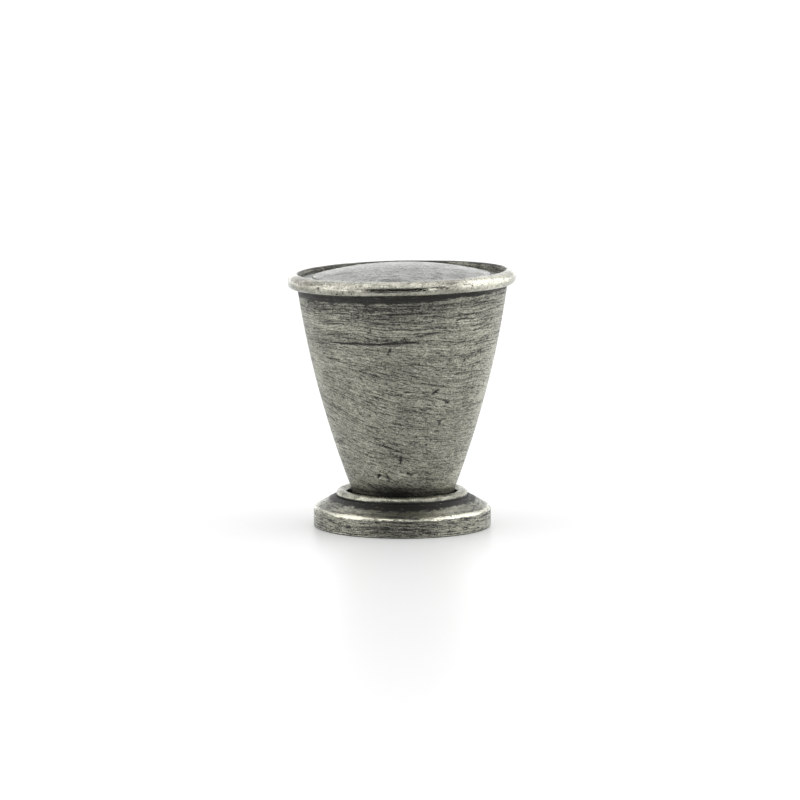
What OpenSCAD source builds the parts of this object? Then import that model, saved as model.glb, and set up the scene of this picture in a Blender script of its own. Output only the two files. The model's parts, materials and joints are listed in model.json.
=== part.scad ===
// Cabinet knob: a tapered hollow cup, closed by a domed face inside a half-round rim, that
// stands loose in the shallow socket of a round backplate. One M4 screw, driven from behind
// the drawer front, clamps both to it. The origin is the centre of the backplate's back face,
// and +Z is the knob's axis. All lengths are in millimetres.

/* [Backplate] */
// Diameter of the backplate
plate_d = 25.1; // [25:0.1:27]
// Height of the shoulder between the upright band and the sloping top
shoulder_h = 2.5; // [2.4:0.05:2.7]
// Radius of the rounded shoulder
shoulder_r = 0.9; // [0.5:0.1:1.2]
// Angle of the sloping top above the horizontal
slope_angle = 31.5; // [27:0.5:32]
// Height of the socket floor, which the knob's foot stands on
floor_h = 4.1; // [4:0.05:4.3]
// Depth of the relief turned in the back face
relief_depth = 0.6; // [0.3:0.1:1.2]
// Diameter of the fixing screw's clearance hole
screw_hole_d = 4.5; // [4.3:0.1:5]

/* [Socket ring] */
// Inside diameter of the ring round the knob's foot
socket_d = 15.6; // [15.4:0.1:16]
// Width of the ring's section, which has a half-round top
ring_w = 1.5; // [1.2:0.1:1.5]
// Height of the ring's crest above the back face
ring_h = 5.2; // [5.1:0.05:5.4]

/* [Knob] */
// Diameter over the rim
knob_d = 32; // [31:0.5:35]
// Height of the dome's top above the back face
knob_h = 37.2; // [35:0.1:40]
// Diameter of the cup where its taper ends and the foot turns in
foot_d = 14.7; // [14.2:0.1:15]
// Radius of the foot's rounded edge
foot_round = 1.3; // [0.8:0.1:2]
// How far the cup's side bulges out from a straight taper, half way up
side_bulge = 0.85; // [0.2:0.01:1.2]
// Thickness of the cup's wall
wall = 1.3; // [1:0.1:1.6]
// Thickness of the cup's floor, which holds the insert
cup_floor = 4.4; // [4:0.1:6]

/* [Rim and face] */
// Radius of the half-round rim wire
wire_r = 1; // [0.8:0.05:1.1]
// Thickness of the lip between the face and the rim wire
lip = 0.65; // [0.5:0.05:0.8]
// Radius of the sphere that the face is a cap of
dome_r = 50; // [44:1:70]
// Width of the flat margin round the dome
margin_w = 1.6; // [0.8:0.1:2]
// Thickness of the face
face_t = 1.25; // [1:0.05:1.5]

/* [Insert] */
// Diameter of the fixing thread, drawn as a plain hole
thread_d = 4; // [3.5:0.5:5]
// Length of the insert
insert_len = 12; // [10:0.5:14]
// Diameter of the insert's knurled shank
shank_d = 6.4; // [6.2:0.1:7]
// Diameter of the insert's flange
flange_d = 9.6; // [8.4:0.2:10]
// Number of grooves in the shank's knurling
grooves = 20; // [12:1:24]

/* [Hidden] */
$fn = 96;

// Backplate
plate_r = plate_d / 2;
screw_hole_r = screw_hole_d / 2;
boss_r = 4.2;                        // radius of the land round the screw hole, on the back
edge_land = 2;                       // width of the land round the edge of the back
edge_bevel = 0.25;                   // bevel on the band's bottom edge
seam_w = 0.3;                        // width of the seam between the slope and the ring

// Socket ring
socket_r = socket_d / 2;
ring_outer_r = socket_r + ring_w;

// Cup, from the foot up
foot_r = foot_d / 2;
foot_z = floor_h + foot_round;       // height where the taper ends and the foot turns in
rim_h = knob_h - 1.1;                // height of the rim wire's crest
wire_c = knob_d / 2 - wire_r;        // radius of the rim wire's centre
wire_z = rim_h - wire_r;             // height of the rim wire's centre
mouth_z = wire_z - wire_r;           // height of the step under the rim wire
mouth_r = wire_c - 0.2;              // radius of the taper under the rim wire
lip_r = wire_c - lip;                // inside radius of the lip
lip_h = rim_h - 0.1;                 // height of the lip's top
lip_bevel = 0.2;
cup_floor_z = floor_h + cup_floor;

// Domed face
dome_edge_r = lip_r - margin_w;
margin_z = knob_h - 1.9;             // top of the flat margin
ledge_z = margin_z - face_t;         // ledge in the cup's mouth that carries the face

// Threaded insert
thread_r = thread_d / 2;
thread_bevel = 0.4;
shank_r = shank_d / 2;
flange_t = 1;
insert_z = floor_h + 0.2;            // the insert ends just short of the foot's face
groove_r = 0.25;

// Points of an arc round [cx, cz], from angle a to angle b, in n steps
function arc(cx, cz, r, a, b, n) =
    [for (i = [0:n]) let (t = a + (b - a) * i / n) [cx + r * cos(t), cz + r * sin(t)]];

// Radius of the cup's outside at height z: a straight taper plus a parabolic bulge
function side_r(z) =
    let (t = (z - foot_z) / (mouth_z - foot_z))
    foot_r + (mouth_r - foot_r) * t + side_bulge * 4 * t * (1 - t);

// Points up the cup's side from height a to height b, moved in by inset, in n steps
function side(a, b, inset, n) =
    [for (i = [0:n]) let (z = a + (b - a) * i / n) [side_r(z) - inset, z]];

// Height at radius r of the dome, or of the surface a given depth below it
function dome_z(r, depth = 0) = knob_h - dome_r + sqrt(pow(dome_r - depth, 2) - r * r);

module backplate() {
    shoulder_end = 90 - slope_angle;
    shoulder_z = shoulder_h - shoulder_r / 2;
    slope_low_r = plate_r - shoulder_r * (1 - cos(shoulder_end));
    slope_low_z = shoulder_z + shoulder_r * sin(shoulder_end);
    slope_top_r = ring_outer_r + seam_w;
    slope_top_z = slope_low_z + (slope_low_r - slope_top_r) * tan(slope_angle);
    color([0.45, 0.45, 0.43])
    rotate_extrude()
        polygon(concat(
            [[screw_hole_r, 0], [boss_r, 0], [boss_r, relief_depth]],
            [[plate_r - edge_land, relief_depth], [plate_r - edge_land, 0]],
            [[plate_r - edge_bevel, 0], [plate_r, edge_bevel]],
            arc(plate_r - shoulder_r, shoulder_z, shoulder_r, 0, shoulder_end, 8),
            [[slope_top_r, slope_top_z], [ring_outer_r, floor_h], [screw_hole_r, floor_h]]
        ));
}

module socket_ring() {
    crown_r = ring_w / 2;
    color([0.62, 0.61, 0.57])
    rotate_extrude()
        polygon(concat(
            [[socket_r, floor_h], [ring_outer_r, floor_h]],
            arc(socket_r + crown_r, ring_h - crown_r, crown_r, 0, 180, 16)
        ));
}

module knob_body() {
    color([0.42, 0.42, 0.4])
    rotate_extrude()
        polygon(concat(
            [[shank_r, floor_h]],
            arc(foot_r - foot_round, foot_z, foot_round, -90, 0, 8),
            side(foot_z, mouth_z, 0, 24),
            [[wire_c, mouth_z], [wire_c, lip_h - lip_bevel], [wire_c - lip_bevel, lip_h]],
            [[lip_r + lip_bevel, lip_h], [lip_r, lip_h - lip_bevel], [lip_r, ledge_z]],
            side(ledge_z, cup_floor_z, wall, 20),
            [[shank_r, cup_floor_z]]
        ));
}

module rim_wire() {
    color([0.68, 0.66, 0.6])
    rotate_extrude()
        polygon(arc(wire_c, wire_z, wire_r, -90, 90, 24));
}

module domed_face() {
    steps = 16;
    under_r = dome_edge_r - face_t;
    color([0.5, 0.5, 0.49])
    rotate_extrude()
        polygon(concat(
            [for (i = [0:steps]) let (r = dome_edge_r * i / steps) [r, dome_z(r)]],
            [[dome_edge_r, margin_z], [lip_r, margin_z]],
            [[lip_r, ledge_z], [dome_edge_r, ledge_z]],
            [for (i = [steps:-1:0]) let (r = under_r * i / steps) [r, dome_z(r, face_t)]]
        ));
}

module threaded_insert() {
    end_z = insert_z + insert_len;
    grooved_h = cup_floor_z - insert_z;
    color([0.72, 0.58, 0.3])
    difference() {
        rotate_extrude()
            polygon([
                [thread_r + thread_bevel, insert_z], [shank_r, insert_z],
                [shank_r, cup_floor_z], [flange_d / 2, cup_floor_z],
                [flange_d / 2, cup_floor_z + flange_t], [shank_r, cup_floor_z + flange_t],
                [shank_r, end_z], [thread_r + thread_bevel, end_z],
                [thread_r, end_z - thread_bevel], [thread_r, insert_z + thread_bevel]
            ]);
        for (i = [0:grooves - 1])
            rotate(i * 360 / grooves)
                translate([shank_r + groove_r / 2, 0, insert_z - 1])
                    cylinder(r = groove_r, h = grooved_h, $fn = 24);
    }
}

backplate();
socket_ring();
knob_body();
rim_wire();
domed_face();
threaded_insert();
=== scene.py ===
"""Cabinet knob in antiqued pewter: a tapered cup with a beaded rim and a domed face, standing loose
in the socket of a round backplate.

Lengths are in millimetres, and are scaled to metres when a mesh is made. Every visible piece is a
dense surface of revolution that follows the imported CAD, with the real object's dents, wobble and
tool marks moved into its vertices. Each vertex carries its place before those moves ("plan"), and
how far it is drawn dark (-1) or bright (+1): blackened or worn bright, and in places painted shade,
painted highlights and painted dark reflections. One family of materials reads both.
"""

import json
import math

import bpy
import numpy as np
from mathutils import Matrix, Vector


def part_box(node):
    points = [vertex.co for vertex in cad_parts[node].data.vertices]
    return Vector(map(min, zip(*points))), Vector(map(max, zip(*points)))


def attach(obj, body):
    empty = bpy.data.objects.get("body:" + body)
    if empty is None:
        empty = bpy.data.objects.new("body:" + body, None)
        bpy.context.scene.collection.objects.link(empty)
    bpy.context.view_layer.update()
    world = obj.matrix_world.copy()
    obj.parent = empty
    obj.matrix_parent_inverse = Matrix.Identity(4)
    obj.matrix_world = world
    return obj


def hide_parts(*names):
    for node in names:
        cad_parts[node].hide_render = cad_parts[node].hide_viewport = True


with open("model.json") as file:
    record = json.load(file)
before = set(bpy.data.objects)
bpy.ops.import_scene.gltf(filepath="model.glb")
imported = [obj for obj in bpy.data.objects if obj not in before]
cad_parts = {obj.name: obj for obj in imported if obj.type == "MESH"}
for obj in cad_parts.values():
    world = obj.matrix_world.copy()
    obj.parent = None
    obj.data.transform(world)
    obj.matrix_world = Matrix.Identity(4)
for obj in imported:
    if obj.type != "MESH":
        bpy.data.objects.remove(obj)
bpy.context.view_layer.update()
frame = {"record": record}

MM = 0.001


# ---------------------------------------------------------------- sizes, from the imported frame


def span(node):
    """Lowest z, highest z and outer radius of a CAD node, in millimetres."""
    low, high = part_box(node)
    return low.z / MM, high.z / MM, high.x / MM


PLATE_LOW, _, PLATE_R = span("backplate")
FLOOR_H, RING_H, RING_OUTER_R = span("socket_ring")
_, LIP_H, WIRE_C = span("knob_body")
MOUTH_H, RIM_H, RIM_R = span("rim_wire")
LEDGE_H, TOP_H, LIP_R = span("domed_face")
INSERT_LOW, INSERT_TOP, FLANGE_R = span("threaded_insert")

MOUNTS = {m["name"]: m for m in frame["record"]["mounts"]}
SCREW_HOLE_R = MOUNTS["screw_clearance"]["dims"]["r_mm"]
THREAD_R = MOUNTS["fixing_thread"]["dims"]["r_mm"]

# Backplate. Its band and its slope would meet at SHOULDER_H, and the shoulder rounds that corner
SHOULDER_H = 2.56
SHOULDER_R = 0.7
SLOPE = math.radians(31.5)
BOSS_R = 4.2
RELIEF = 0.6
EDGE_LAND = 2.0
SEAM = 0.3

# The middle of the shoulder's arc, and the slope's low and high ends
SHOULDER_TURN = math.pi / 2 - SLOPE
CORNER_CUT = SHOULDER_R * (math.sin(SHOULDER_TURN) - (1 - math.cos(SHOULDER_TURN)) * math.tan(SLOPE))
ARC_H = SHOULDER_H - CORNER_CUT
ARC_R = PLATE_R - SHOULDER_R
SLOPE_LOW_R = ARC_R + SHOULDER_R * math.cos(SHOULDER_TURN)
SLOPE_LOW_H = ARC_H + SHOULDER_R * math.sin(SHOULDER_TURN)
SLOPE_TOP_R = RING_OUTER_R + SEAM
SLOPE_TOP_H = SLOPE_LOW_H + (SLOPE_LOW_R - SLOPE_TOP_R) * math.tan(SLOPE)

# Socket ring
RING_W = 1.5

# Knob
FOOT_R = 7.35
FOOT_ROUND = 1.3
FOOT_H = FLOOR_H + FOOT_ROUND
SIDE_BULGE = 0.85
MOUTH_R = WIRE_C - 0.2
WALL = 1.3
CUP_FLOOR_H = FLOOR_H + 4.4
SHANK_R = 3.2
DOME_R = 50.0
MARGIN_W = 1.85
MARGIN_H = TOP_H - 1.9
DOME_EDGE_R = LIP_R - MARGIN_W
FACE_T = 1.25

# Rim wire, worn flat where its upper outside was: widest low down, and drawn in towards its crest
BEAD_R = RIM_R + 0.10
BEAD_WIDEST_H = MOUTH_H + 0.96
BEAD_CREST_R = WIRE_C - 0.15

# How the knob in the photograph departs from true. The cant comes in between the two heights
CANTED = (20.0, 34.0)
RIM_CANT = math.radians(1.4)
FACE_CANT = math.radians(0.8)
LEAN = math.radians(0.24)
FOOT_SHIFT = 0.12
RIM_SHIFT = -0.06
FACE_SHIFT = -0.10
RING_SHIFT = -0.07


# ---------------------------------------------------------------- numbers


def smooth(value, low, high):
    """0 below low, 1 above high, and an even curve between."""
    t = np.clip((value - low) / (high - low), 0, 1)
    return t * t * (3 - 2 * t)


def peak(value, centre, half_width):
    """1 at centre, falling off evenly to both sides."""
    return np.exp(-(((value - centre) / half_width) ** 2))


def noise(points, scale, seed, octaves=1):
    """Smooth noise from -1 to 1 at the points, from values hashed at whole-number corners.

    scale is the cells per millimetre along x, y and z.
    """
    total = np.zeros(len(points))
    weight = 0.0
    for octave in range(octaves):
        place = points * np.asarray(scale) * 2.0**octave
        cell = np.floor(place).astype(np.int64)
        part = place - cell
        part = part * part * (3 - 2 * part)
        value = np.zeros(len(points))
        for corner in np.ndindex(2, 2, 2):
            h = (cell + corner) @ np.array([73856093, 19349663, 83492791]) + (seed + octave) * 40503
            h = (h ^ (h >> 13)) * 1274126177 & 0xFFFFFFFF
            h = (h ^ (h >> 16)) * 2246822519 & 0xFFFFFFFF
            h = (h ^ (h >> 15)) & 0xFFFF
            share = np.prod(np.where(corner, part, 1 - part), axis=1)
            value += share * (h / 32767.5 - 1)
        total += value * 0.5**octave
        weight += 0.5**octave
    return total / weight


def waves(angle, counts, seed):
    """A closed wobble round the axis, from -1 to 1: one sine for each number of waves."""
    total = np.zeros_like(angle)
    for k in counts:
        total += np.sin(k * angle + 2.4 * seed * k) / len(counts)
    return total


# ---------------------------------------------------------------- outlines and meshes


def line(start, end, step):
    """Points from start to end, about step apart."""
    count = max(2, round(math.dist(start, end) / step) + 1)
    return np.linspace(start, end, count)


def arc(centre, radius, start, end, step):
    """Points round centre from angle start to angle end, in degrees, about step apart."""
    count = max(4, round(abs(math.radians(end - start)) * radius / step) + 1)
    angles = np.radians(np.linspace(start, end, count))
    return np.stack([centre[0] + radius * np.cos(angles), centre[1] + radius * np.sin(angles)], 1)


def bulge(centre, size, power, start, end, step):
    """Points round a superellipse; a power above 2 swells its corners, and one below flattens them."""
    count = max(4, round(abs(math.radians(end - start)) * max(size) / step) + 1)
    angles = np.radians(np.linspace(start, end, count))
    ways = np.stack([np.cos(angles), np.sin(angles)], 1)
    return np.asarray(centre) + np.sign(ways) * np.abs(ways) ** (2 / power) * size


def join(*stretches):
    """One outline from several, without the points where one ends and the next begins."""
    points = np.concatenate([np.asarray(s, float).reshape(-1, 2) for s in stretches])
    apart = np.linalg.norm(np.diff(points, axis=0), axis=1) > 1e-6
    return points[np.concatenate([[True], apart])]


class Turned:
    """A closed surface of revolution, before its vertices are moved.

    outline runs anticlockwise with r to the right and z up. It closes on itself, or starts at the
    bottom of the axis and ends at the top.
    """

    def __init__(self, outline, around):
        self.poles = outline[0][0] == 0
        body = outline[1:-1] if self.poles else outline
        before, after = np.roll(body, 1, axis=0), np.roll(body, -1, axis=0)
        if self.poles:
            before[0], after[-1] = outline[0], outline[-1]
        tangent = after - before
        tangent /= np.linalg.norm(tangent, axis=1)[:, None]
        turn = np.linspace(0, 2 * np.pi, around, endpoint=False)
        self.rows, self.around = len(body), around
        self.angle = np.tile(turn, self.rows)
        self.r = np.repeat(body[:, 0], around)
        self.z = np.repeat(body[:, 1], around)
        out_r = np.repeat(tangent[:, 1], around)
        out_z = np.repeat(-tangent[:, 0], around)
        cos, sin = np.cos(self.angle), np.sin(self.angle)
        self.plan = np.stack([self.r * cos, self.r * sin, self.z], 1)
        self.out = np.stack([out_r * cos, out_r * sin, out_z], 1)
        if self.poles:
            ends = np.array([[0, 0, outline[0][1]], [0, 0, outline[-1][1]]])
            self.plan = np.concatenate([self.plan, ends])
            self.out = np.concatenate([self.out, [[0, 0, -1], [0, 0, 1]]])
            self.r = np.concatenate([self.r, [0, 0]])
            self.z = np.concatenate([self.z, ends[:, 2]])
            self.angle = np.concatenate([self.angle, [0, 0]])

    def faces(self):
        """Quads between the rows, and a fan at each pole, all facing out."""
        rows = self.rows - 1 if self.poles else self.rows
        row, turn = np.meshgrid(np.arange(rows), np.arange(self.around), indexing="ij")
        below, above = row * self.around, (row + 1) % self.rows * self.around
        beside = (turn + 1) % self.around
        quads = np.stack([below + turn, below + beside, above + beside, above + turn], -1)
        faces = quads.reshape(-1, 4).tolist()
        if self.poles:
            bottom = self.rows * self.around
            top, last = bottom + 1, bottom - self.around
            for k in range(self.around):
                n = (k + 1) % self.around
                faces.append([bottom, n, k])
                faces.append([top, last + k, last + n])
        return faces


def build(name, turned, points, wear_and_light, body, replaces, material):
    """Makes the finished piece: its mesh from the moved points, riding on its CAD body."""
    mesh = bpy.data.meshes.new(name)
    mesh.from_pydata((points * MM).tolist(), [], turned.faces())
    mesh.validate()
    plan = mesh.attributes.new("plan", "FLOAT_VECTOR", "POINT")
    plan.data.foreach_set("vector", turned.plan.astype(np.float32).ravel())
    wear_and_light_layer = mesh.attributes.new("wear_and_light", "FLOAT", "POINT")
    wear_and_light_layer.data.foreach_set("value", np.clip(wear_and_light, -2, 2).astype(np.float32))
    mesh.shade_smooth()
    mesh.set_sharp_from_angle(angle=math.radians(50))
    mesh.materials.append(material)
    piece = bpy.data.objects.new(name, mesh)
    bpy.context.scene.collection.objects.link(piece)
    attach(piece, body)
    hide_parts(replaces)


# ---------------------------------------------------------------- materials


class Graph:
    """The nodes of a material or a world, added one expression at a time."""

    def __init__(self, owner):
        self.owner = owner
        owner.use_nodes = True
        self.tree = owner.node_tree
        self.tree.nodes.clear()

    def add(self, kind, inputs=(), **settings):
        """A new node. An input is a socket to link, or a constant."""
        node = self.tree.nodes.new(kind)
        for key, value in settings.items():
            setattr(node, key, value)
        for key, value in dict(inputs).items():
            if isinstance(value, bpy.types.NodeSocket):
                self.tree.links.new(value, node.inputs[key])
            else:
                node.inputs[key].default_value = value
        return node

    def attribute(self, name, output):
        """One of the vertices' own values."""
        return self.add("ShaderNodeAttribute", attribute_name=name).outputs[output]

    def math(self, operation, *values):
        return self.add("ShaderNodeMath", dict(enumerate(values)), operation=operation).outputs[0]

    def vector(self, operation, *values):
        return self.add("ShaderNodeVectorMath", dict(enumerate(values)), operation=operation).outputs[0]

    def noise(self, place, scale, stretch=(1, 1, 1), detail=2.0, rough=0.5):
        """Noise from 0 to 1, with scale cells per millimetre before stretch."""
        moved = self.vector("MULTIPLY", place, stretch)
        inputs = {"Vector": moved, "Scale": scale, "Detail": detail, "Roughness": rough}
        return self.add("ShaderNodeTexNoise", inputs).outputs[0]

    def between(self, value, low, high, start=0.0, end=1.0):
        """start where value is low, end where it is high, and an even curve between."""
        inputs = {"Value": value, "From Min": low, "From Max": high, "To Min": start, "To Max": end}
        node = self.add("ShaderNodeMapRange", inputs, interpolation_type="SMOOTHSTEP")
        return node.outputs[0]

    def ramp(self, value, stops):
        """A colour or grey from value, by (place, colour) stops."""
        node = self.add("ShaderNodeValToRGB", {0: value})
        ramp = node.color_ramp
        while len(ramp.elements) < len(stops):
            ramp.elements.new(0.5)
        for element, (place, colour) in zip(ramp.elements, stops):
            element.position = place
            element.color = (*colour, 1)
        return node.outputs[0]

    def bump(self, height, distance, strength):
        """A normal from height, with distance in metres."""
        inputs = {"Height": height, "Distance": distance, "Strength": strength}
        return self.add("ShaderNodeBump", inputs).outputs[0]

    def surface(self, inputs):
        """The finished material: one Principled shader with these inputs."""
        shader = self.add("ShaderNodeBsdfPrincipled", inputs)
        self.add("ShaderNodeOutputMaterial", {"Surface": shader.outputs[0]})
        return self.owner


# Pewter by tone: how bright it is when fully blackened, and on up to rubbed bright. Painted shade and
# painted highlights are drawn on the same scale
LEVELS = [(0.0, 0.036), (0.22, 0.062), (0.5, 0.215), (0.75, 0.385), (1.0, 0.720)]

# Pewter brighter than this has taken on all of its tint
TINTED = 0.15

# Heights between which the cup's brush marks level out, and its dark bands begin
LEVEL_OUT = (22.0, 28.0)
BANDED = (23.5, 29.5)


def brush_axes(g, place, x, z, slant):
    """Where to take brush marks from, so that they wander and tip, most at the left and low down.

    The second answer tips them more steeply, and its marks cross those of the first.
    """
    wander = g.noise(place, 0.12, detail=1.0)
    steepness = g.math("MULTIPLY_ADD", x, -0.045 * slant, slant)
    low_down = g.between(z, *LEVEL_OUT, 1.0, 0.25)
    tipped = g.math("MULTIPLY", g.math("MULTIPLY", x, steepness), low_down)
    lift = g.math("MULTIPLY_ADD", wander, 1.5, tipped)
    along = g.vector("ADD", place, g.add("ShaderNodeCombineXYZ", {2: lift}).outputs[0])
    steeper = g.math("MULTIPLY", lift, 1.7)
    across = g.vector("ADD", place, g.add("ShaderNodeCombineXYZ", {2: steeper}).outputs[0])
    return along, across


def pewter(
    name,
    stroke=(1.05, 1.05, 6.8),
    slant=0.0,
    strokes=0.6,
    lines=0.35,
    bands=0.0,
    grit=0.5,
    pits=0.6,
    cloud=0.6,
    rough=(0.54, 0.32),
    tint=(1.0, 0.99, 0.83),
    calm=None,
):
    """Antiqued pewter, from the vertices' plan and their tone: wear, with painted shade and painted
    highlights in it.

    stroke stretches the brush marks, and slant tips them down to the right across the front. strokes,
    lines, bands, grit, pits and cloud are how strongly each kind of mark shows; bands lie high up.
    rough is the roughness of fully blackened metal and of bright metal. calm is the pair of heights
    between which the marks fade to half.
    """
    g = Graph(bpy.data.materials.new(name))
    place = g.attribute("plan", "Vector")
    wear_and_light = g.attribute("wear_and_light", "Fac")
    axes = g.add("ShaderNodeSeparateXYZ", {0: place})
    x, z = axes.outputs[0], axes.outputs[2]

    # The patterns: brush marks, marks that cross them, long thin lines, speckle, pits and clouds
    along, across = brush_axes(g, place, x, z, slant)
    long = (stroke[0] * 0.15, stroke[1] * 0.15, stroke[2] * 0.9)
    broken = (stroke[0] * 2.0, stroke[1] * 2.0, stroke[2])
    scratch = g.noise(along, 0.85, stretch=stroke, detail=3.0, rough=0.6)
    second = g.noise(across, 0.85, stretch=broken, detail=2.0, rough=0.6)
    line = g.noise(along, 0.9, stretch=long, detail=2.0, rough=0.6)
    speckle = g.noise(place, 4.2, stretch=(1, 1, 1.3), detail=2.0, rough=0.7)
    hole = g.noise(place, 2.3, detail=2.0, rough=0.5)
    broad = g.noise(place, 0.22, detail=3.0, rough=0.6)

    # Their sum, lighter above 0 and darker below. Fully blackened metal shows little of it
    bare = g.between(wear_and_light, -1.1, -0.35, 0.3, 1.0)
    if calm:
        bare = g.math("MULTIPLY", bare, g.between(z, *calm, 1.0, 0.5))
    dark_scratch = g.between(scratch, 0.48, 0.64)
    dark_second = g.between(second, 0.50, 0.66)
    dark_line = g.between(line, 0.50, 0.62)
    pit = g.between(hole, 0.66, 0.74)
    marks = g.math("MULTIPLY_ADD", g.math("SUBTRACT", speckle, 0.5), grit * 4, strokes * 0.55)
    marks = g.math("MULTIPLY_ADD", dark_scratch, -strokes, marks)
    marks = g.math("MULTIPLY_ADD", dark_second, -strokes * 0.6, marks)
    marks = g.math("MULTIPLY_ADD", dark_line, -lines, marks)
    marks = g.math("MULTIPLY_ADD", pit, -pits, marks)
    if bands:
        band = g.noise(place, 0.12, stretch=(1, 1, 22), detail=4.0, rough=0.7)
        high = g.between(z, *BANDED)
        dark_band = g.math("MULTIPLY", high, g.between(band, 0.44, 0.62))
        marks = g.math("MULTIPLY_ADD", dark_band, -bands, marks)
        marks = g.math("MULTIPLY_ADD", g.math("MULTIPLY", high, dark_line), -bands * 0.5, marks)
    tone = g.math("MULTIPLY_ADD", marks, bare, wear_and_light)
    tone = g.math("MULTIPLY_ADD", g.math("SUBTRACT", broad, 0.5), cloud, tone)
    tone = g.math("MULTIPLY_ADD", tone, 0.5, 0.5)

    # Blackened metal is neutral and dull, and takes on the tint and the gloss as it brightens
    stops = [(level, tuple(v * (1 - (1 - t) * min(1, v / TINTED)) for t in tint)) for level, v in LEVELS]
    colour = g.ramp(tone, stops)
    roughness = g.between(tone, 0.0, 1.0, *rough)
    height = g.math("MULTIPLY_ADD", dark_scratch, -0.5, g.math("MULTIPLY", speckle, 0.5))
    height = g.math("MULTIPLY_ADD", dark_line, -0.5, g.math("MULTIPLY_ADD", pit, -1.0, height))
    normal = g.bump(height, 0.00003, 0.6)
    return g.surface({"Base Color": colour, "Roughness": roughness, "Normal": normal, "Metallic": 1.0})


def brass():
    """Machined brass, dulled in its grooves."""
    g = Graph(bpy.data.materials.new("insert_brass"))
    place = g.attribute("plan", "Vector")
    rings = g.noise(place, 0.9, stretch=(0.3, 0.3, 6), detail=3.0)
    cloud = g.noise(place, 0.3, detail=3.0)
    tone = g.math("MULTIPLY_ADD", g.attribute("wear_and_light", "Fac"), 0.4, cloud)
    colour = g.ramp(tone, [(0.2, (0.22, 0.14, 0.05)), (0.5, (0.50, 0.34, 0.13)), (0.8, (0.72, 0.52, 0.22))])
    roughness = g.between(rings, 0.3, 0.7, 0.42, 0.24)
    normal = g.bump(rings, 0.00002, 0.4)
    return g.surface({"Base Color": colour, "Roughness": roughness, "Normal": normal, "Metallic": 1.0})


# ---------------------------------------------------------------- the knob


def side_r(z):
    """Radius of the cup's outside at height z, as in the CAD."""
    t = (z - FOOT_H) / (MOUTH_H - FOOT_H)
    return FOOT_R + (MOUTH_R - FOOT_R) * t + SIDE_BULGE * 4 * t * (1 - t)


def side(start, end, inset, step):
    """Points up the cup's side from height start to height end, moved in by inset."""
    z = np.linspace(start, end, max(2, round(abs(end - start) / step) + 1))
    return np.stack([side_r(z) - inset, z], 1)


def dome(start, end, inset, step):
    """Points across the dome from radius start to radius end, moved in by inset."""
    r = np.linspace(start, end, max(2, round(abs(end - start) / step) + 1))
    return np.stack([r, TOP_H - DOME_R + np.sqrt((DOME_R - inset) ** 2 - r * r)], 1)


def settle(points, cant):
    """Moves points as the real knob stands: leaning, off centre, and canted near the rim."""
    x, y, z = points.T
    lifted = z + np.tan(cant) * x * smooth(z, *CANTED)
    leant = x + FOOT_SHIFT - math.tan(LEAN) * (z - FLOOR_H)
    return np.stack([leant, y, lifted], 1)


# Nicks and scratches in the cup's side: angle from the front in degrees, height, length, slope in
# degrees, depth
NICKS = [
    (22, 20.4, 1.3, 38, 0.13),
    (31, 18.9, 1.4, -28, 0.13),
    (28, 15.9, 0.9, 88, 0.10),
    (-8, 26.2, 1.2, 72, 0.11),
    (41, 24.7, 0.5, 10, 0.16),
    (-19, 29.1, 0.9, 60, 0.07),
    (-24, 8.0, 0.7, 50, 0.16),
    (6, 8.4, 1.0, -30, 0.12),
    (-15, 8.0, 1.4, -62, 0.08),
    (-2, 10.6, 1.6, 85, 0.09),
    (-26, 27.3, 11.0, 0, 0.09),
    (-2, 27.5, 6.0, 3, 0.08),
    (36, 30.5, 2.2, 8, 0.10),
    (14, 28.6, 4.0, 9, 0.08),
    (-47, 24.8, 3.0, -3, 0.08),
    (2, 31.6, 7.0, 1, 0.07),
    (38, 31.0, 5.0, 4, 0.07),
    (118, 22.0, 1.6, 30, 0.12),
    (150, 14.5, 1.2, -40, 0.12),
    (165, 29.0, 9.0, 2, 0.05),
    (196, 26.0, 1.8, 12, 0.12),
    (222, 18.0, 1.1, 65, 0.10),
    (240, 30.5, 7.0, -2, 0.05),
    (261, 12.0, 1.4, -20, 0.12),
    (88, 9.5, 0.9, 45, 0.14),
]

# Broad patches of darker and brighter metal round the cup: angle from the front in degrees, height,
# half width in degrees, half height in mm, and how much brighter. The dark ones from 32 to 34 mm high,
# just under the bead, are painted shade that carries the bead's shadow further down
CUP_SHADE_AND_TONE_PATCHES = [
    (-10, 32.5, 70, 0.45, -0.20),
    (14, 32.4, 30, 0.40, -0.25),
    (-50, 32.9, 15, 0.40, -0.18),
    (-18, 31.1, 18, 0.50, -0.28),
    (50, 31.3, 14, 0.50, 0.20),
    (36, 30.2, 14, 0.50, 0.42),
    (50, 28.6, 14, 0.80, 0.28),
    (30, 33.6, 12, 0.35, -0.30),
    (-58, 30.5, 14, 0.70, 0.20),
    (-60, 32.0, 16, 0.70, -0.25),
    (-43, 29.3, 13, 0.50, 0.52),
    (-8, 28.9, 20, 0.50, 0.28),
    (31, 28.8, 8, 0.40, -0.25),
    (-28, 27.3, 28, 0.35, -0.25),
    (-6, 27.8, 14, 0.30, -0.28),
    (22, 25.5, 10, 0.50, -0.24),
    (2, 26.6, 30, 0.55, 0.30),
    (-10, 25.4, 20, 0.50, 0.18),
    (-20, 23.2, 22, 1.00, -0.22),
    (0, 17.0, 12, 4.00, -0.20),
    (-14, 8.8, 26, 1.30, 0.25),
    (52, 6.6, 22, 1.50, 0.35),
    (74, 19.0, 16, 18.0, 0.32),
    (-72, 22.0, 14, 9.0, 0.14),
    (160, 27.0, 30, 0.50, -0.25),
    (150, 29.0, 25, 0.60, 0.30),
    (210, 30.0, 35, 0.50, -0.20),
    (240, 26.0, 30, 0.70, 0.25),
]
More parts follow.
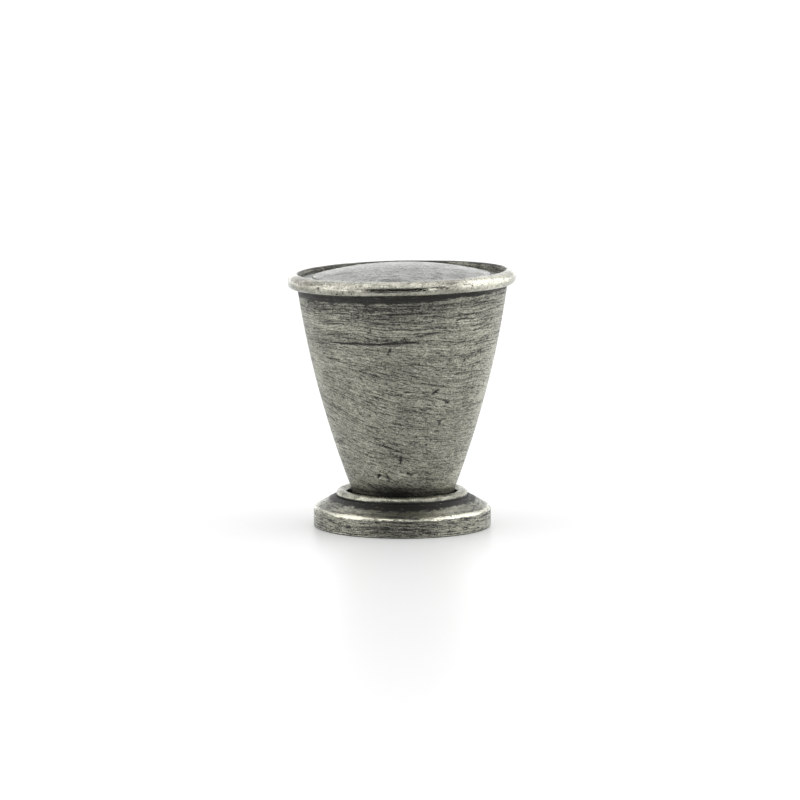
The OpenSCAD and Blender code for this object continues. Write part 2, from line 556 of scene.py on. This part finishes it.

# The same for the rim: painted highlights where the side lights glint on the bead, a painted dark stripe
# and patch at the front where it reflects the open tent, and its small pits at the end
RIM_REFLECTIONS_AND_PITS = [
    (-42, 35.5, 12, 9, 0.10),
    (-20, 35.5, 6, 9, 0.25),
    (-3, 35.18, 13, 0.26, -0.45),
    (14, 35.0, 5, 0.5, 0.30),
    (25, 35.6, 5, 0.5, -0.60),
    (52, 35.5, 20, 9, 0.50),
    (128, 35.5, 24, 9, 0.25),
    (215, 35.5, 30, 9, 0.25),
    (-46, 35.15, 0.9, 0.10, -1.30),
    (-52, 35.5, 1.2, 0.06, -0.80),
    (-31, 34.9, 0.8, 0.08, -0.70),
    (33, 35.4, 0.7, 0.07, -0.90),
    (110, 35.2, 0.9, 0.10, -1.00),
    (-130, 35.5, 1.0, 0.08, -1.00),
]

# The same for the backplate's shoulder: painted highlights where the side lights catch it, front and back
SHOULDER_HIGHLIGHTS = [
    (-37, 2.3, 18, 9, 1.6),
    (44, 2.3, 19, 9, 1.9),
    (135, 2.3, 25, 9, 1.2),
    (-120, 2.3, 25, 9, 1.2),
]


def from_front(turned):
    """Each vertex's angle from the front, in degrees, positive to the right."""
    return (np.degrees(turned.angle) + 270) % 360 - 180


def light_and_wear_patches(turned, table):
    """How much brighter a table of patches makes each vertex: painted shade, painted highlights and
    painted dark reflections, or the metal's own tone, as each table says.
    """
    total = np.zeros(len(turned.z))
    for degrees, height, half_width, half_height, amount in table:
        offset = (from_front(turned) - degrees + 180) % 360 - 180
        u, v = offset / half_width, (turned.z - height) / half_height
        total += amount * np.exp(-u * u - v * v)
    return total


def nick_depth(turned):
    """How deep the nicks are at each vertex, and 0 away from them."""
    depth = np.zeros(len(turned.z))
    for degrees, height, length, slope, deep in NICKS:
        offset = np.radians((from_front(turned) - degrees + 180) % 360 - 180)
        u, v = offset * turned.r, turned.z - height
        cos, sin = math.cos(math.radians(slope)), math.sin(math.radians(slope))
        along, across = u * cos + v * sin, v * cos - u * sin
        half_width = 0.10 + 0.07 * abs(sin)
        ends = 1 - smooth(np.abs(along), length * 0.3, length * 0.55)
        depth = np.maximum(depth, deep * peak(across, 0, half_width) * ends)
    return depth


def cup_outline(bevel):
    """Up the outside, over the lip that holds the face, and down inside to the insert's hole."""
    return join(
        line((SHANK_R, FLOOR_H), (FOOT_R - FOOT_ROUND, FLOOR_H), 0.5),
        arc((FOOT_R - FOOT_ROUND, FOOT_H), FOOT_ROUND, -90, -10, 0.16),
        side(FOOT_H, MOUTH_H - 0.1, 0, 0.103),
        line((MOUTH_R, MOUTH_H), (WIRE_C, MOUTH_H), 0.15),
        line((WIRE_C, MOUTH_H), (WIRE_C, LIP_H - bevel), 0.6),
        arc((WIRE_C - bevel, LIP_H - bevel), bevel, 0, 90, 0.08),
        arc((LIP_R + bevel, LIP_H - bevel), bevel, 90, 180, 0.08),
        line((LIP_R, LIP_H - bevel), (LIP_R, LEDGE_H), 0.25),
        side(LEDGE_H, CUP_FLOOR_H, WALL, 4.0),
        line((SHANK_R + 0.5, CUP_FLOOR_H), (SHANK_R, CUP_FLOOR_H), 1.0),
    )


def make_cup():
    """The tapered body, brushed along and nicked on its side."""
    bevel = 0.2
    t = Turned(cup_outline(bevel), 288)
    outer = (t.r > side_r(t.z) - 0.5) & (t.z > FOOT_H - 1) & (t.z <= MOUTH_H)
    on_side = outer * smooth(t.z, FOOT_H - 0.9, FOOT_H + 0.5)
    inner_lip = (np.abs(t.r - LIP_R) < 0.25) & (t.z > MARGIN_H - 0.3)
    lip_top = (t.z > LIP_H - bevel / 2) & (t.r < WIRE_C)

    # Relief: brush marks that tip down to one side, slow swells, nicks, and a rough lip inside
    marks_tip = 0.18
    tipped = t.plan + np.stack([0 * t.z, 0 * t.z, marks_tip * t.plan[:, 0]], 1)
    marks = noise(tipped, (0.7, 0.7, 4.0), seed=3, octaves=2)
    swell = noise(t.plan, (0.16, 0.16, 0.10), seed=5, octaves=2)
    nicks = nick_depth(t) * on_side
    relief = on_side * (0.010 * marks + 0.045 * swell) - nicks
    relief += inner_lip * 0.06 * noise(t.plan, (1.0, 1.0, 1.4), seed=9, octaves=2)

    # Tone: black under the bead, narrower at the right: blackened metal in the groove together with
    # painted shade cast by the bead. Darker round the foot, where it stands down in the socket, partly
    # painted shade; and a dark patch of patina on the foot, most at the front
    ragged = noise(t.plan, (1.1, 1.1, 1.4), seed=11, octaves=3)
    broad = noise(t.plan, (0.2, 0.2, 0.35), seed=13, octaves=2)
    wear_and_light = 0.03 + 0.10 * broad + 0.10 * marks
    shade_end = MOUTH_H - (1.05 - 0.5 * smooth(t.plan[:, 0], 2.0, 9.0))
    wear_and_light -= 0.80 * smooth(t.z + 0.25 * ragged, shade_end - 0.2, shade_end + 0.2)
    wear_and_light += light_and_wear_patches(t, CUP_SHADE_AND_TONE_PATCHES)
    wear_and_light -= 0.22 * (1 - smooth(t.z + 0.45 * ragged, FOOT_H - 0.2, FOOT_H + 0.7))
    at_front = peak(from_front(t), -6, 36)
    wear_and_light -= 0.66 * at_front * (1 - smooth(t.z + 0.35 * ragged, FOOT_H + 0.8, FOOT_H + 1.7))
    wear_and_light -= 9.0 * nicks
    wear_and_light = np.where(outer, wear_and_light, -0.7)
    wear_and_light = np.where(inner_lip, -0.02 + 0.4 * ragged - 0.5 * lip_top, wear_and_light)

    points = settle(t.plan + t.out * relief[:, None], RIM_CANT)
    material = pewter(
        "cup_pewter",
        stroke=(1.15, 1.15, 8.2),
        slant=0.20,
        strokes=0.56,
        lines=0.42,
        bands=0.35,
    )
    build("cup", t, points, wear_and_light, "knob", "knob_body", material)


def rim_outline(inside, crown):
    """Full low down on the outside, rounded over the crest, and upright inside."""
    low_size = (BEAD_R - WIRE_C, BEAD_WIDEST_H - MOUTH_H)
    high_size = (BEAD_R - BEAD_CREST_R, RIM_H - BEAD_WIDEST_H)
    return join(
        bulge((WIRE_C, BEAD_WIDEST_H), low_size, 3.0, -90, 0, 0.035),
        bulge((BEAD_CREST_R, BEAD_WIDEST_H), high_size, 1.9, 0, 90, 0.035),
        arc((inside + crown, RIM_H - crown), crown, 90, 180, 0.06),
        line((inside, RIM_H - 0.5), (inside, MOUTH_H + 0.3), 0.3),
        line((inside + 0.2, MOUTH_H), (WIRE_C, MOUTH_H), 0.12),
    )


def make_rim():
    """The half-round wire round the mouth, bent by hand and rubbed bright, with painted highlights and
    painted dark reflections.
    """
    inside = WIRE_C - 0.32
    t = Turned(rim_outline(inside, 0.12), 480)
    outer = smooth(t.r, WIRE_C - 0.2, WIRE_C + 0.3)

    # Relief: a wobble in and out and one up and down, and small lumps
    wobble = 0.04 * waves(t.angle, (2, 3, 5, 8, 13), 1.0)
    lumps = 0.018 * noise(t.plan, (0.5, 0.5, 0.9), seed=21, octaves=3)
    relief = outer * (wobble + lumps)
    sway = 0.035 * waves(t.angle, (2, 3, 4, 7, 11), 2.0)

    # Tone: bright outside, with the table's painted highlights and painted dark reflections; painted shade
    # on the underside; dark inside, painted shade where the wire stands over the face; and black in the
    # seam below, blackened metal in the groove together with painted shade under the bead
    ragged = noise(t.plan, (0.9, 0.9, 1.4), seed=23, octaves=3)
    wear_and_light = 0.34 + 0.22 * ragged
    low_side = 1 - smooth(t.z, BEAD_WIDEST_H - 0.35, BEAD_WIDEST_H + 0.1)
    wear_and_light -= 0.25 * low_side * outer
    wear_and_light += outer * light_and_wear_patches(t, RIM_REFLECTIONS_AND_PITS)
    wear_and_light -= 0.7 * (1 - smooth(t.r + 0.1 * ragged, inside + 0.08, WIRE_C))
    wear_and_light -= 0.7 * (1 - smooth(t.z + 0.08 * ragged, MOUTH_H, MOUTH_H + 0.22))
    wear_and_light = np.where(t.r < inside + 0.01, -0.1 + 0.4 * ragged, wear_and_light)

    points = t.plan + t.out * relief[:, None]
    points[:, 0] += RIM_SHIFT
    points[:, 2] += sway
    points = settle(points, RIM_CANT)
    material = pewter(
        "rim_pewter",
        stroke=(1, 1, 2.5),
        strokes=0.30,
        lines=0.12,
        grit=0.42,
        pits=1.3,
        cloud=0.5,
        rough=(0.32, 0.05),
        tint=(1.0, 0.98, 0.84),
    )
    build("rim", t, points, wear_and_light, "knob", "rim_wire", material)


def face_outline():
    """Out over the dome, down its worn step to the flat margin, and back under."""
    edge_r = LIP_R - 0.02
    return join(
        dome(0, DOME_EDGE_R - 0.15, 0, 0.14),
        arc((DOME_EDGE_R - 0.1, MARGIN_H + 0.22), 0.12, 70, 0, 0.05),
        arc((DOME_EDGE_R + 0.22, MARGIN_H + 0.18), 0.18, 190, 265, 0.05),
        line((DOME_EDGE_R + 0.3, MARGIN_H), (edge_r, MARGIN_H), 0.10),
        line((edge_r, MARGIN_H - 0.1), (edge_r, LEDGE_H), 0.4),
        line((LIP_R - 0.1, LEDGE_H), (DOME_EDGE_R, LEDGE_H), 0.4),
        dome(DOME_EDGE_R - FACE_T, 0, FACE_T, 1.2),
    )


def make_face():
    """The domed disc that closes the mouth, brushed straight across."""
    t = Turned(face_outline()[::-1], 300)
    upper = smooth(t.z, LEDGE_H + 0.3, MARGIN_H - 0.2) * (t.r < LIP_R - 0.03)
    on_margin = smooth(t.r, DOME_EDGE_R - 0.1, DOME_EDGE_R + 0.4)

    # Relief: slow swells, and lumps that are strongest on the margin
    lumps = noise(t.plan, (0.9, 0.9, 0.9), seed=31, octaves=3)
    swell = noise(t.plan, (0.12, 0.12, 0.2), seed=33, octaves=2)
    relief = upper * (0.03 * swell + 0.006 * lumps + 0.09 * on_margin * lumps)

    # Tone: brightest near the dome's edge, darker on the margin, and darkest against the lip, where the
    # shade in the corner against the rim is painted in
    ragged = noise(t.plan, (0.6, 0.6, 0.6), seed=35, octaves=3)
    wear_and_light = 0.18 + 0.08 * ragged
    wear_and_light += 0.15 * smooth(t.r, DOME_EDGE_R - 1.2, DOME_EDGE_R - 0.4)
    wear_and_light -= 0.20 * smooth(t.r + 0.2 * ragged, DOME_EDGE_R - 0.2, DOME_EDGE_R + 0.2)
    wear_and_light -= 0.35 * smooth(t.r + 0.3 * ragged, LIP_R - 0.45, LIP_R - 0.1)
    wear_and_light = np.where(t.z < MARGIN_H - 0.3, -0.7, wear_and_light)

    points = t.plan + t.out * relief[:, None]
    points[:, 0] += FACE_SHIFT * upper
    points = settle(points, FACE_CANT)
    material = pewter(
        "face_pewter",
        stroke=(0.85, 2.4, 1.0),
        strokes=0.42,
        lines=0.30,
        grit=0.68,
        pits=0.4,
        cloud=0.2,
        rough=(0.46, 0.25),
        tint=(0.985, 1.0, 0.965),
    )
    build("face", t, points, wear_and_light, "knob", "domed_face", material)


def insert_outline(flange_low, flange_high, bevel):
    """Up the shank, out and in round the flange, over the top, and down the bore."""
    return join(
        line((THREAD_R + bevel, INSERT_LOW), (SHANK_R - 0.1, INSERT_LOW), 0.4),
        line((SHANK_R, INSERT_LOW + 0.1), (SHANK_R, flange_low), 0.3),
        line((SHANK_R, flange_low), (FLANGE_R - 0.1, flange_low), 0.4),
        line((FLANGE_R, flange_low + 0.1), (FLANGE_R, flange_high - 0.1), 0.3),
        line((FLANGE_R - 0.1, flange_high), (SHANK_R, flange_high), 0.4),
        line((SHANK_R, flange_high + 0.2), (SHANK_R, INSERT_TOP - 0.1), 0.6),
        line((SHANK_R - 0.1, INSERT_TOP), (THREAD_R + bevel, INSERT_TOP), 0.3),
        line((THREAD_R, INSERT_TOP - bevel), (THREAD_R, INSERT_LOW + bevel), 0.07),
    )


def make_insert():
    """The brass insert, with the knurling and the M4 thread that the CAD leaves plain."""
    pitch, thread_depth = 0.7, 0.38
    knurls, knurl_depth = 20, 0.25
    flange_low, flange_high = CUP_FLOOR_H, CUP_FLOOR_H + 1.0
    bevel = 0.4
    t = Turned(insert_outline(flange_low, flange_high, bevel), 160)

    # The thread's ridge winds up the bore, and fades out over a turn at each end
    in_bore = (t.r < THREAD_R + 0.01) * smooth(t.z, INSERT_LOW + bevel, INSERT_LOW + bevel + pitch)
    in_bore *= 1 - smooth(t.z, INSERT_TOP - bevel - pitch, INSERT_TOP - bevel)
    turns = t.z / pitch - t.angle / (2 * np.pi)
    ridge = smooth(2 * np.abs(turns % 1 - 0.5), 0.15, 0.85)
    on_knurl = (np.abs(t.r - SHANK_R) < 0.01) & (t.z > INSERT_LOW + 0.05) & (t.z < flange_low - 0.01)
    groove = np.maximum(0, np.cos(knurls * t.angle)) ** 2
    relief = in_bore * thread_depth * ridge - on_knurl * knurl_depth * groove
    wear_and_light = 0.3 - 0.8 * on_knurl * groove - 0.5 * in_bore * (1 - ridge)

    points = settle(t.plan + t.out * relief[:, None], 0.0)
    build("insert", t, points, wear_and_light, "knob", "threaded_insert", brass())


# ---------------------------------------------------------------- the backplate


def plate_outline():
    """Out under the relieved back, up the band, over the shoulder and slope, and into the socket."""
    bevel = 0.2
    seam_r = RING_OUTER_R - 0.03
    return join(
        line((SCREW_HOLE_R, PLATE_LOW), (BOSS_R, PLATE_LOW), 0.5),
        line((BOSS_R, RELIEF), (PLATE_R - EDGE_LAND, RELIEF), 1.5),
        line((PLATE_R - EDGE_LAND, PLATE_LOW), (PLATE_R - bevel - 0.1, PLATE_LOW), 0.4),
        arc((PLATE_R - bevel, PLATE_LOW + bevel), bevel, -80, 0, 0.06),
        line((PLATE_R, PLATE_LOW + bevel + 0.05), (PLATE_R, ARC_H), 0.07),
        arc((ARC_R, ARC_H), SHOULDER_R, 0, math.degrees(SHOULDER_TURN), 0.045),
        line((SLOPE_LOW_R, SLOPE_LOW_H), (SLOPE_TOP_R, SLOPE_TOP_H), 0.07),
        line((SLOPE_TOP_R - 0.08, SLOPE_TOP_H - 0.02), (RING_OUTER_R, SLOPE_TOP_H - 0.08), 0.08),
        line((seam_r, SLOPE_TOP_H - 0.09), (seam_r, FLOOR_H), 0.1),
        line((RING_OUTER_R - 0.1, FLOOR_H), (SCREW_HOLE_R, FLOOR_H), 0.6),
        line((SCREW_HOLE_R, FLOOR_H - 0.3), (SCREW_HOLE_R, PLATE_LOW + 0.3), 1.2),
    )


def make_plate():
    """The round plate: a brushed band, a rubbed shoulder with painted highlights, and a slope that blackens
    to the ring.
    """
    t = Turned(plate_outline(), 480)
    outside = (t.r > RING_OUTER_R + 0.02) & (t.z > PLATE_LOW + 0.1)
    on_band = (t.r > PLATE_R - 0.05) * outside
    on_slope = outside * (t.z > ARC_H)

    # Relief: brush marks on the band, lumps on the slope, a nibbled edge, and a hollow by the ring
    marks = noise(t.plan, (0.5, 0.5, 4.5), seed=41, octaves=2)
    lumps = noise(t.plan, (0.55, 0.55, 0.8), seed=43, octaves=3)
    edge = peak(t.z, SLOPE_LOW_H, 0.3) * (t.r > SLOPE_LOW_R - 0.3)
    bites = noise(t.plan, (0.8, 0.8, 0.8), seed=45, octaves=2)
    nibbled = 0.04 * waves(t.angle, (3, 7, 11, 17), 1.5) + 0.04 * bites
    relief = on_band * 0.012 * marks + on_slope * 0.018 * lumps + edge * nibbled * outside
    off_ring = smooth(t.r, RING_OUTER_R, RING_OUTER_R + 0.2)
    hollow = off_ring * (1 - smooth(t.r, SLOPE_TOP_R + 0.1, SLOPE_TOP_R + 1.1))
    relief -= 0.07 * hollow * outside

    # Tone: the band is darker at the front, a painted dark reflection of the open front of the tent. The
    # shoulder is rubbed bright, with painted highlights where the side lights catch it, and the foot of
    # the band is worn bright, with a painted highlight where it catches the light off the floor
    ragged = noise(t.plan, (0.9, 0.9, 0.9), seed=47, octaves=3)
    broad = noise(t.plan, (0.22, 0.22, 0.5), seed=49, octaves=2)
    grain = noise(t.plan, (1.9, 1.9, 1.9), seed=55, octaves=2)
    specks = smooth(noise(t.plan, (2.4, 2.4, 2.4), seed=57, octaves=2), 0.20, 0.65)
    at_front = peak(from_front(t), 0, 32)
    wear_and_light = 0.12 * broad + 0.08 + 0.10 * marks * on_band + 0.32 * grain * on_slope
    wear_and_light -= on_band * (0.12 + 0.25 * broad + 0.32 * at_front)
    shoulder_wear_and_highlight = peak(t.z, SLOPE_LOW_H - 0.10 + 0.05 * ragged, 0.205) * (t.r > SLOPE_LOW_R - 0.2)
    wear_and_light += outside * shoulder_wear_and_highlight * (0.45 + 0.35 * ragged + light_and_wear_patches(t, SHOULDER_HIGHLIGHTS))
    wear_and_light += outside * 0.7 * (1 - smooth(t.z + 0.05 * ragged, 0.14, 0.26))

    # The slope is black beside the ring, with a ragged border that reaches furthest at the front
    reach = 0.8 + 0.5 * at_front
    beyond = t.r + 0.30 * ragged + 0.20 * grain + 0.15 * broad - SLOPE_TOP_R
    wear_and_light -= outside * (1.06 - 0.85 * specks) * (1 - smooth(beyond, reach - 0.3, reach + 0.35))
    wear_and_light -= on_slope * (0.12 + 0.05 * at_front)
    # Inside the socket and underneath: dark, blackened metal together with painted shade in the gap round
    # the knob's foot
    hidden = np.where(t.z > FLOOR_H - 0.1, -0.95, -0.78 + 0.1 * ragged)
    wear_and_light = np.where(outside, wear_and_light, hidden)

    points = t.plan + t.out * relief[:, None]
    material = pewter(
        "plate_pewter",
        stroke=(0.75, 0.75, 6.2),
        strokes=0.7,
        lines=0.5,
        rough=(0.52, 0.12),
        calm=(SLOPE_LOW_H - 0.1, SLOPE_LOW_H + 0.3),
    )
    build("plate", t, points, wear_and_light, "plate", "backplate", material)


def make_ring():
    """The half-round ring soldered round the socket, rubbed along its crest."""
    crown = RING_W / 2
    centre_r, centre_h = RING_OUTER_R - crown, RING_H - crown
    outline = join(
        line((RING_OUTER_R - RING_W, FLOOR_H), (RING_OUTER_R, FLOOR_H), 0.3),
        arc((centre_r, centre_h), crown, 0, 180, 0.06),
    )
    t = Turned(outline, 420)
    upper = smooth(t.z, FLOOR_H + 0.1, centre_h)
    lumps = noise(t.plan, (0.7, 0.7, 0.9), seed=51, octaves=3)
    relief = upper * (0.03 * lumps + 0.02 * waves(t.angle, (2, 5, 9), 0.7))

    # Tone: duller at the right, and black down the outside, where the metal is blackened in the cove, and
    # over the inner edge, where this is painted shade in the gap round the knob's foot
    ragged = noise(t.plan, (1.2, 1.2, 1.2), seed=53, octaves=3)
    outward = t.r - centre_r
    wear_and_light = 0.16 + 0.20 * lumps - 0.3 * peak(from_front(t), 48, 26)
    wear_and_light -= 1.3 * (outward > 0) * (1 - smooth(t.z + 0.06 * ragged, centre_h + 0.02, centre_h + 0.18))
    wear_and_light -= 1.3 * smooth(-outward + 0.04 * ragged, crown * 0.85, crown * 1.0)

    points = t.plan + t.out * relief[:, None]
    points[:, 0] += RING_SHIFT * upper
    material = pewter(
        "ring_pewter",
        stroke=(1, 1, 1.6),
        strokes=0.45,
        lines=0.10,
        grit=0.35,
        pits=0.6,
        rough=(0.46, 0.20),
    )
    build("ring", t, points, wear_and_light, "plate", "socket_ring", material)


# ---------------------------------------------------------------- studio and camera


def floor_material():
    """Pale card with a slight sheen."""
    g = Graph(bpy.data.materials.new("floor"))
    place = g.add("ShaderNodeTexCoord").outputs["Object"]
    tint = g.noise(place, 3.0, detail=2.0)
    colour = g.ramp(tint, [(0.2, (0.80, 0.81, 0.805)), (0.8, (0.82, 0.825, 0.825))])
    return g.surface({"Base Color": colour, "Roughness": 0.36, "Specular IOR Level": 0.45})


def make_floor():
    """A pale sweep that ends in front, as the floor of a light tent does."""
    front, reach = -0.19, 6.0
    corners = [(-reach, front, 0), (reach, front, 0), (reach, reach, 0), (-reach, reach, 0)]
    mesh = bpy.data.meshes.new("floor")
    mesh.from_pydata(corners, [], [(0, 1, 2, 3)])
    mesh.materials.append(floor_material())
    floor = bpy.data.objects.new("floor", mesh)
    bpy.context.scene.collection.objects.link(floor)


# Parts of the light tent, by direction in degrees: turn from the front, positive to the right; rise
# above level; how soft their borders are; and how much light they add
SIDE_LIGHTS = [
    ((45, 134), (-4, 55), 7, 0.90),
    ((-110, -56), (-4, 50), 7, 0.80),
]
OPENING = ((-35, 46), (-60, 33), 4, -0.97)
# The tent's edges catch the light beside the opening, and a cloth hangs in it
GLINTS = [
    ((-84, -40), (-7, 9), 3, 1.1),
    ((24, 37), (-9, 16), 3, 1.6),
]


def make_light_tent():
    """White all round, brighter above and at both sides, and dark where the tent is open in front."""
    world = bpy.data.worlds.new("light_tent")
    bpy.context.scene.world = world
    g = Graph(world)
    axes = g.add("ShaderNodeSeparateXYZ", {0: g.add("ShaderNodeTexCoord").outputs["Generated"]})
    x, y, z = axes.outputs
    turn = g.math("ARCTAN2", x, g.math("MULTIPLY", y, -1.0))
    rise = g.math("ARCSINE", z)

    def window(value, low, high, soft):
        low, high, soft = (math.radians(v) for v in (low, high, soft))
        up = g.between(value, low - soft, low + soft)
        down = g.between(value, high - soft, high + soft, 1.0, 0.0)
        return g.math("MULTIPLY", up, down)

    def patch(turns, rises, soft, amount, base):
        inside = g.math("MULTIPLY", window(turn, *turns, soft), window(rise, *rises, soft))
        return g.math("MULTIPLY_ADD", inside, amount, base)

    light = g.math("MULTIPLY_ADD", g.between(rise, 0.2, 1.2), 0.75, 0.72)
    behind = g.math("MULTIPLY", g.between(y, 0.1, 0.6), g.between(rise, 0.06, 0.26, 1.70, 1.06))
    light = g.math("MAXIMUM", light, behind)
    for side_light in SIDE_LIGHTS:
        light = patch(*side_light, light)
    light = g.math("MULTIPLY", light, patch(*OPENING, 1.0))
    for glint in GLINTS:
        light = patch(*glint, light)
    seen = g.add("ShaderNodeLightPath").outputs["Is Camera Ray"]
    strength = g.add("ShaderNodeMix", {0: seen, 2: light, 3: 1.0}, data_type="FLOAT").outputs[0]
    background = g.add("ShaderNodeBackground", {"Color": (1.0, 1.0, 0.995, 1.0), "Strength": strength})
    g.add("ShaderNodeOutputWorld", {"Surface": background.outputs[0]})


def make_camera():
    """At the photograph's viewing angle: nine degrees above the backplate, in front."""
    tilt_down = 7.62
    data = bpy.data.cameras.new("camera")
    data.lens = 189.3
    data.clip_start = 0.01
    camera = bpy.data.objects.new("camera", data)
    camera.location = (-0.00033, -0.5891, 0.0966)
    camera.rotation_euler = (math.radians(90 - tilt_down), 0, 0)
    bpy.context.scene.collection.objects.link(camera)
    bpy.context.scene.camera = camera


# ---------------------------------------------------------------- the scene

make_camera()
make_light_tent()
make_floor()
make_plate()
make_ring()
make_cup()
make_rim()
make_face()
make_insert()

bpy.context.scene.view_settings.view_transform = "Standard"
bpy.context.scene.cycles.use_denoising = True
